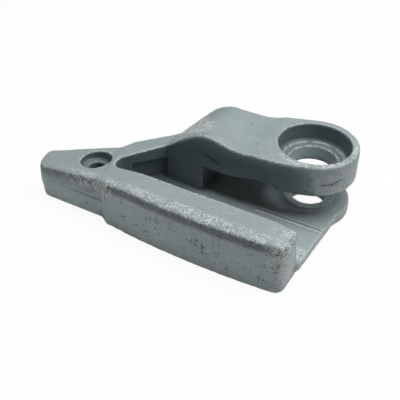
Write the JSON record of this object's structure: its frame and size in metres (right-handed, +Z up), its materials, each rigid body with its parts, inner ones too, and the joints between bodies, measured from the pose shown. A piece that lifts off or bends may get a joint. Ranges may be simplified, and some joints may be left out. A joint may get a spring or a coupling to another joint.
{
  "type": "bucket tooth adapter",
  "caption": "Cast corner adapter that clamps over a bucket lip beside the side wall with one counterbored bolt and carries a tooth on its drilled nose.",
  "frame": {"origin": "axis of the lip bolt, at the level that the casting rests on", "axes": "+X to the rear, away from the tooth; +Y from the outer leg to the middle of the bucket; +Z up"},
  "size_m": [0.2634, 0.1643, 0.073],
  "materials": {
    "painted_casting": "satin grey paint on cast steel"
  },
  "bodies": {
    "root": {"adapter": "painted_casting"}
  },
  "joints": []
}
